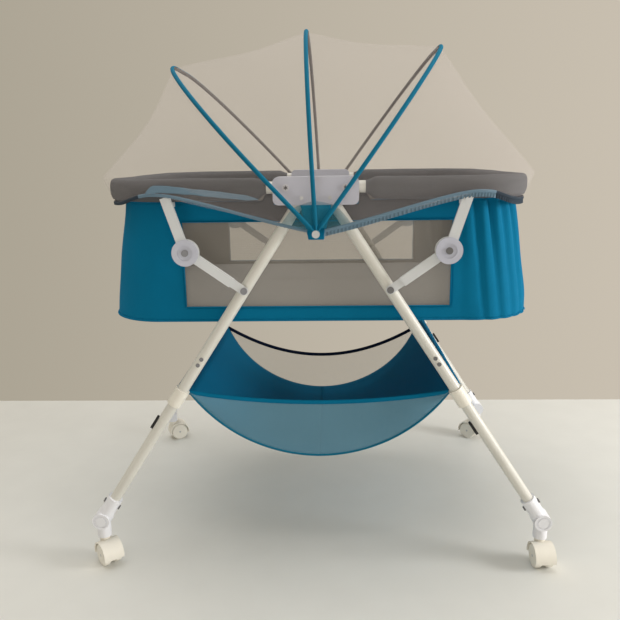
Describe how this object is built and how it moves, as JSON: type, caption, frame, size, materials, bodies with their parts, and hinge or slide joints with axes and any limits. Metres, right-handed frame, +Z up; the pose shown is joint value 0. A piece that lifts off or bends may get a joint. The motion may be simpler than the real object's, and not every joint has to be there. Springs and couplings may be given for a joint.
{
  "type": "folding baby bed",
  "caption": "Folding baby bed on castors: fabric crib with mesh windows hung from hinged rails on splayed legs, net canopy on tilting hoops and a sling basket.",
  "frame": {"origin": "on the floor below the middle of the bed", "axes": "+X along the bed to the right, +Y across the bed to the back, +Z up"},
  "size_m": [0.816, 0.607, 0.9258],
  "materials": {
    "frame_tube": "satin cream-white powder coat",
    "brace_steel": "satin white paint",
    "white_plastic": "smooth white moulding",
    "cream_plastic": "cream moulding",
    "steel": "plated fastener",
    "dark_steel": "dark fastener",
    "rubber": "black pad",
    "blue_fabric": "teal-blue woven polyester",
    "grey_fabric": "grey padded polyester",
    "mesh_fabric": "see-through polyester mesh",
    "net_fabric": "fine see-through netting",
    "pad_fabric": "quilted grey pad",
    "hoop_tape": "spring wire in blue tape"
  },
  "bodies": {
    "hub": {"front_bracket": "white_plastic", "back_bracket": "white_plastic", "rail_pivot_bolts": "dark_steel", "leg_pivot_pins": "steel", "net_gussets": "blue_fabric", "net_pivot_pins": "steel", "crib_shell": "blue_fabric", "front_window_mesh": "mesh_fabric", "back_window_mesh": "mesh_fabric", "mattress_pad": "pad_fabric", "mosquito_net": "net_fabric", "basket_sling": "blue_fabric", "basket_mesh_walls": "mesh_fabric"},
    "left_legs": {"left_upper_legs": "frame_tube", "left_lower_legs": "frame_tube", "left_tee_joints": "cream_plastic", "left_leg_fasteners": "dark_steel", "left_leg_bumpers": "rubber", "left_cross_tube": "frame_tube", "left_foot_sockets": "cream_plastic"},
    "left_rail": {"left_rail_tube": "frame_tube", "left_rail_cover": "grey_fabric", "left_rail_lugs": "brace_steel"},
    "left_lower_brace": {"left_lower_arms": "brace_steel"},
    "left_upper_brace": {"left_upper_arms": "brace_steel", "left_elbow_caps": "white_plastic", "left_elbow_screws": "steel"},
    "right_legs": {"right_upper_legs": "frame_tube", "right_lower_legs": "frame_tube", "right_tee_joints": "cream_plastic", "right_leg_fasteners": "dark_steel", "right_leg_bumpers": "rubber", "right_cross_tube": "frame_tube", "right_foot_sockets": "cream_plastic"},
    "right_rail": {"right_rail_tube": "frame_tube", "right_rail_cover": "grey_fabric", "right_rail_lugs": "brace_steel"},
    "right_lower_brace": {"right_lower_arms": "brace_steel"},
    "right_upper_brace": {"right_upper_arms": "brace_steel", "right_elbow_caps": "white_plastic", "right_elbow_screws": "steel"},
    "right_hoop": {"right_hoop": "hoop_tape"},
    "middle_hoop": {"middle_hoop": "hoop_tape"},
    "left_hoop": {"left_hoop": "hoop_tape"},
    "front_left_castor": {"front_left_castor_hood": "cream_plastic", "front_left_castor_axle": "steel"},
    "front_left_castor_wheels": {"front_left_castor_wheels": "cream_plastic"},
    "back_left_castor": {"back_left_castor_hood": "cream_plastic", "back_left_castor_axle": "steel"},
    "back_left_castor_wheels": {"back_left_castor_wheels": "cream_plastic"},
    "front_right_castor": {"front_right_castor_hood": "cream_plastic", "front_right_castor_axle": "steel"},
    "front_right_castor_wheels": {"front_right_castor_wheels": "cream_plastic"},
    "back_right_castor": {"back_right_castor_hood": "cream_plastic", "back_right_castor_axle": "steel"},
    "back_right_castor_wheels": {"back_right_castor_wheels": "cream_plastic"}
  },
  "joints": [
    {"name": "left_leg_fold", "type": "hinge", "parent": "hub", "child": "left_legs", "pos_m": [-0.022, 0, 0.644], "axis": [0, -1, 0], "range_deg": [0, 26], "deforming": ["crib_shell", "front_window_mesh", "back_window_mesh", "mattress_pad", "mosquito_net", "basket_sling", "basket_mesh_walls"]},
    {"name": "right_leg_fold", "type": "hinge", "parent": "hub", "child": "right_legs", "pos_m": [0.022, 0, 0.644], "axis": [0, 1, 0], "range_deg": [0, 26], "deforming": ["crib_shell", "front_window_mesh", "back_window_mesh", "mattress_pad", "mosquito_net", "basket_sling", "basket_mesh_walls"]},
    {"name": "left_rail_fold", "type": "hinge", "parent": "hub", "child": "left_rail", "pos_m": [-0.0465, 0, 0.66], "axis": [0, -1, 0], "range_deg": [0, 71.5], "deforming": ["crib_shell", "front_window_mesh", "back_window_mesh", "mattress_pad", "mosquito_net", "basket_sling", "basket_mesh_walls"]},
    {"name": "left_brace_swing", "type": "hinge", "parent": "left_legs", "child": "left_lower_brace", "pos_m": [-0.1175, 0, 0.49736], "axis": [0, -1, 0], "range_deg": [0, 42], "deforming": ["crib_shell", "front_window_mesh", "back_window_mesh", "mattress_pad", "mosquito_net", "basket_sling", "basket_mesh_walls"]},
    {"name": "left_elbow_fold", "type": "hinge", "parent": "left_lower_brace", "child": "left_upper_brace", "pos_m": [-0.207, 0, 0.561], "axis": [0, 1, 0], "range_deg": [0, 123], "deforming": ["crib_shell", "front_window_mesh", "back_window_mesh", "mattress_pad", "mosquito_net", "basket_sling", "basket_mesh_walls"]},
    {"name": "right_rail_fold", "type": "hinge", "parent": "hub", "child": "right_rail", "pos_m": [0.0465, 0, 0.66], "axis": [0, 1, 0], "range_deg": [0, 71.5], "deforming": ["crib_shell", "front_window_mesh", "back_window_mesh", "mattress_pad", "mosquito_net", "basket_sling", "basket_mesh_walls"]},
    {"name": "right_brace_swing", "type": "hinge", "parent": "right_legs", "child": "right_lower_brace", "pos_m": [0.1175, 0, 0.49736], "axis": [0, 1, 0], "range_deg": [0, 42], "deforming": ["crib_shell", "front_window_mesh", "back_window_mesh", "mattress_pad", "mosquito_net", "basket_sling", "basket_mesh_walls"]},
    {"name": "right_elbow_fold", "type": "hinge", "parent": "right_lower_brace", "child": "right_upper_brace", "pos_m": [0.207, 0, 0.561], "axis": [0, -1, 0], "range_deg": [0, 123], "deforming": ["crib_shell", "front_window_mesh", "back_window_mesh", "mattress_pad", "mosquito_net", "basket_sling", "basket_mesh_walls"]},
    {"name": "canopy_fold", "type": "hinge", "parent": "hub", "child": "right_hoop", "pos_m": [0, 0, 0.591], "axis": [0, 1, 0], "range_deg": [0, 29], "deforming": ["mosquito_net"]},
    {"name": "middle_hoop_swing", "type": "hinge", "parent": "right_hoop", "child": "middle_hoop", "pos_m": [0, 0, 0.591], "axis": [0, 1, 0], "range_deg": [0, 29], "deforming": ["mosquito_net"]},
    {"name": "left_hoop_swing", "type": "hinge", "parent": "middle_hoop", "child": "left_hoop", "pos_m": [0, 0, 0.591], "axis": [0, 1, 0], "range_deg": [0, 29], "deforming": ["mosquito_net"]},
    {"name": "front_left_castor_swivel", "type": "hinge", "parent": "left_legs", "child": "front_left_castor", "pos_m": [-0.388, -0.258, 0.06], "axis": [0, 0, 1], "continuous": true},
    {"name": "front_left_castor_roll", "type": "hinge", "parent": "front_left_castor", "child": "front_left_castor_wheels", "pos_m": [-0.37882, -0.26857, 0.02], "axis": [0.7547, 0.6561, 0], "continuous": true},
    {"name": "back_left_castor_swivel", "type": "hinge", "parent": "left_legs", "child": "back_left_castor", "pos_m": [-0.388, 0.258, 0.06], "axis": [0, 0, 1], "continuous": true},
    {"name": "back_left_castor_roll", "type": "hinge", "parent": "back_left_castor", "child": "back_left_castor_wheels", "pos_m": [-0.37531, 0.26392, 0.02], "axis": [-0.4226, 0.9063, 0], "continuous": true},
    {"name": "front_right_castor_swivel", "type": "hinge", "parent": "right_legs", "child": "front_right_castor", "pos_m": [0.388, -0.258, 0.06], "axis": [0, 0, 1], "continuous": true},
    {"name": "front_right_castor_roll", "type": "hinge", "parent": "front_right_castor", "child": "front_right_castor_wheels", "pos_m": [0.38873, -0.27198, 0.02], "axis": [0.9986, 0.0523, 0], "continuous": true},
    {"name": "back_right_castor_swivel", "type": "hinge", "parent": "right_legs", "child": "back_right_castor", "pos_m": [0.388, 0.258, 0.06], "axis": [0, 0, 1], "continuous": true},
    {"name": "back_right_castor_roll", "type": "hinge", "parent": "back_right_castor", "child": "back_right_castor_wheels", "pos_m": [0.37743, 0.26718, 0.02], "axis": [-0.6561, -0.7547, 0], "continuous": true}
  ],
  "couplings": [
    {"joint": "right_leg_fold", "follows": "left_leg_fold", "ratio": 1},
    {"joint": "left_rail_fold", "follows": "left_leg_fold", "ratio": 2.75},
    {"joint": "left_brace_swing", "follows": "left_leg_fold", "ratio": 1.6043},
    {"joint": "left_elbow_fold", "follows": "left_leg_fold", "ratio": 4.7069},
    {"joint": "right_rail_fold", "follows": "left_leg_fold", "ratio": 2.75},
    {"joint": "right_brace_swing", "follows": "left_leg_fold", "ratio": 1.6043},
    {"joint": "right_elbow_fold", "follows": "left_leg_fold", "ratio": 4.7069},
    {"joint": "middle_hoop_swing", "follows": "canopy_fold", "ratio": 1},
    {"joint": "left_hoop_swing", "follows": "canopy_fold", "ratio": 1}
  ]
}
